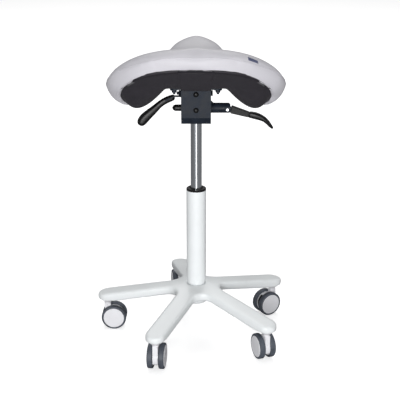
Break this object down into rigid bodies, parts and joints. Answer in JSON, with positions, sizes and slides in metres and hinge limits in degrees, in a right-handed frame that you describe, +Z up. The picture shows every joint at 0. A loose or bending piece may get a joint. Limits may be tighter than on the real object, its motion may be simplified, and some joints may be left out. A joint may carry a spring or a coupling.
{
  "type": "dentist saddle stool",
  "caption": "Saddle-shaped dentist's stool on a gas lift column and a five-legged caster base, with height and tilt levers under the seat.",
  "frame": {"origin": "on the column's axis at floor level", "axes": "+Z up, +X to the right of someone behind the stool, +Y forward from the wide rear of the saddle to its pommel"},
  "size_m": [0.4909, 0.5239, 0.785],
  "materials": {
    "white_paint": "satin powder coat",
    "white_base": "white satin powder coat over cast aluminium",
    "chrome": "polished",
    "black_paint": "fine textured powder coat",
    "steel": "zinc plated",
    "black_plastic": "moulded",
    "grey_plastic": "moulded",
    "pan_plastic": "grained",
    "white_plastic": "smooth moulded",
    "tyre": "smooth dark grey",
    "upholstery": "smooth pale grey synthetic leather",
    "shell": "moulded",
    "tag": "woven"
  },
  "bodies": {
    "root": {"star_base": "white_base", "column_tube": "white_paint", "column_bush": "black_plastic", "caster_stems": "steel", "thrust_bearing": "steel"},
    "rod": {"piston_rod": "chrome", "retaining_clip": "steel"},
    "carriage": {"gas_cylinder": "chrome", "mechanism_bracket": "black_paint", "cone_socket": "black_paint", "hinge_block": "black_plastic", "bracket_screws": "black_paint", "tilt_axle": "steel", "clamp_bolt": "steel", "lever_tube": "black_paint", "lever_pin": "steel", "left_end_cap": "black_plastic", "tilt_lever_pivot": "steel"},
    "button": {"release_button": "steel"},
    "lift_lever": {"lift_lever_arm": "steel", "lift_lever_sleeve": "grey_plastic", "lift_lever_grip": "black_plastic"},
    "tilt_lever": {"tilt_lever_arm": "black_paint", "tilt_lever_grip": "black_plastic"},
    "seat": {"seat_plate": "black_paint", "seat_pan": "pan_plastic", "seat_shell": "shell", "seat_cushion": "upholstery", "seat_bolts": "black_paint", "seat_tag": "tag"},
    "caster_right": {"caster_right_housing": "white_plastic", "caster_right_axle": "black_plastic"},
    "right_wheel_1": {"caster_right_wheel_1": "white_plastic", "caster_right_tyre_1": "tyre"},
    "right_wheel_2": {"caster_right_wheel_2": "white_plastic", "caster_right_tyre_2": "tyre"},
    "caster_rear": {"caster_rear_housing": "white_plastic", "caster_rear_axle": "black_plastic"},
    "rear_wheel_1": {"caster_rear_wheel_1": "white_plastic", "caster_rear_tyre_1": "tyre"},
    "rear_wheel_2": {"caster_rear_wheel_2": "white_plastic", "caster_rear_tyre_2": "tyre"},
    "caster_left": {"caster_left_housing": "white_plastic", "caster_left_axle": "black_plastic"},
    "left_wheel_1": {"caster_left_wheel_1": "white_plastic", "caster_left_tyre_1": "tyre"},
    "left_wheel_2": {"caster_left_wheel_2": "white_plastic", "caster_left_tyre_2": "tyre"},
    "caster_front_left": {"caster_front_left_housing": "white_plastic", "caster_front_left_axle": "black_plastic"},
    "front_left_wheel_1": {"caster_front_left_wheel_1": "white_plastic", "caster_front_left_tyre_1": "tyre"},
    "front_left_wheel_2": {"caster_front_left_wheel_2": "white_plastic", "caster_front_left_tyre_2": "tyre"},
    "caster_front_right": {"caster_front_right_housing": "white_plastic", "caster_front_right_axle": "black_plastic"},
    "front_right_wheel_1": {"caster_front_right_wheel_1": "white_plastic", "caster_front_right_tyre_1": "tyre"},
    "front_right_wheel_2": {"caster_front_right_wheel_2": "white_plastic", "caster_front_right_tyre_2": "tyre"}
  },
  "joints": [
    {"name": "seat_swivel", "type": "hinge", "parent": "root", "child": "rod", "pos_m": [0, 0, 0.1], "axis": [0, 0, 1], "continuous": true},
    {"name": "height_slide", "type": "slide", "parent": "rod", "child": "carriage", "axis": [0, 0, 1], "range_m": [-0.165, 0]},
    {"name": "seat_tilt", "type": "hinge", "parent": "carriage", "child": "seat", "pos_m": [0, -0.03, 0.652], "axis": [1, 0, 0], "range_deg": [-12, 6]},
    {"name": "lift_lever_pivot", "type": "hinge", "parent": "carriage", "child": "lift_lever", "pos_m": [0.0765, 0, 0.6048], "axis": [0, -1, 0], "range_deg": [0, 4], "stiffness_Nm_per_rad": 0.6, "springref_deg": -28.65},
    {"name": "button_slide", "type": "slide", "parent": "carriage", "child": "button", "axis": [0, 0, 1], "range_m": [-0.0056, 0]},
    {"name": "tilt_lever_pivot", "type": "hinge", "parent": "carriage", "child": "tilt_lever", "pos_m": [-0.024, -0.008, 0.638], "axis": [0, 1, 0], "range_deg": [0, 8], "stiffness_Nm_per_rad": 0.6, "springref_deg": -28.65},
    {"name": "right_swivel", "type": "hinge", "parent": "root", "child": "caster_right", "pos_m": [0.20648, 0.11634, 0.075], "axis": [0, 0, 1], "continuous": true},
    {"name": "right_roll_1", "type": "hinge", "parent": "caster_right", "child": "right_wheel_1", "pos_m": [0.19187, 0.10764, 0.0325], "axis": [-0.512, 0.859, 0], "continuous": true},
    {"name": "right_roll_2", "type": "hinge", "parent": "caster_right", "child": "right_wheel_2", "pos_m": [0.19187, 0.10764, 0.0325], "axis": [-0.512, 0.859, 0], "continuous": true},
    {"name": "rear_swivel", "type": "hinge", "parent": "root", "child": "caster_rear", "pos_m": [-0.04684, 0.23232, 0.075], "axis": [0, 0, 1], "continuous": true},
    {"name": "rear_roll_1", "type": "hinge", "parent": "caster_rear", "child": "rear_wheel_1", "pos_m": [-0.04921, 0.24916, 0.0325], "axis": [0.9903, 0.1392, 0], "continuous": true},
    {"name": "rear_roll_2", "type": "hinge", "parent": "caster_rear", "child": "rear_wheel_2", "pos_m": [-0.04921, 0.24916, 0.0325], "axis": [0.9903, 0.1392, 0], "continuous": true},
    {"name": "left_swivel", "type": "hinge", "parent": "root", "child": "caster_left", "pos_m": [-0.23543, 0.02724, 0.075], "axis": [0, 0, 1], "continuous": true},
    {"name": "left_roll_1", "type": "hinge", "parent": "caster_left", "child": "left_wheel_1", "pos_m": [-0.21844, 0.02677, 0.0325], "axis": [-0.0279, -0.9996, 0], "continuous": true},
    {"name": "left_roll_2", "type": "hinge", "parent": "caster_left", "child": "left_wheel_2", "pos_m": [-0.21844, 0.02677, 0.0325], "axis": [-0.0279, -0.9996, 0], "continuous": true},
    {"name": "front_left_swivel", "type": "hinge", "parent": "root", "child": "caster_front_left", "pos_m": [-0.09866, -0.21549, 0.075], "axis": [0, 0, 1], "continuous": true},
    {"name": "front_left_roll_1", "type": "hinge", "parent": "caster_front_left", "child": "front_left_wheel_1", "pos_m": [-0.0965, -0.19863, 0.0325], "axis": [0.9919, -0.1271, 0], "continuous": true},
    {"name": "front_left_roll_2", "type": "hinge", "parent": "caster_front_left", "child": "front_left_wheel_2", "pos_m": [-0.0965, -0.19863, 0.0325], "axis": [0.9919, -0.1271, 0], "continuous": true},
    {"name": "front_right_swivel", "type": "hinge", "parent": "root", "child": "caster_front_right", "pos_m": [0.17445, -0.16042, 0.075], "axis": [0, 0, 1], "continuous": true},
    {"name": "front_right_roll_1", "type": "hinge", "parent": "caster_front_right", "child": "front_right_wheel_1", "pos_m": [0.16822, -0.1446, 0.0325], "axis": [0.9304, 0.3665, 0], "continuous": true},
    {"name": "front_right_roll_2", "type": "hinge", "parent": "caster_front_right", "child": "front_right_wheel_2", "pos_m": [0.16822, -0.1446, 0.0325], "axis": [0.9304, 0.3665, 0], "continuous": true}
  ],
  "couplings": [
    {"joint": "button_slide", "follows": "lift_lever_pivot", "m_per_rad": -0.0765}
  ]
}
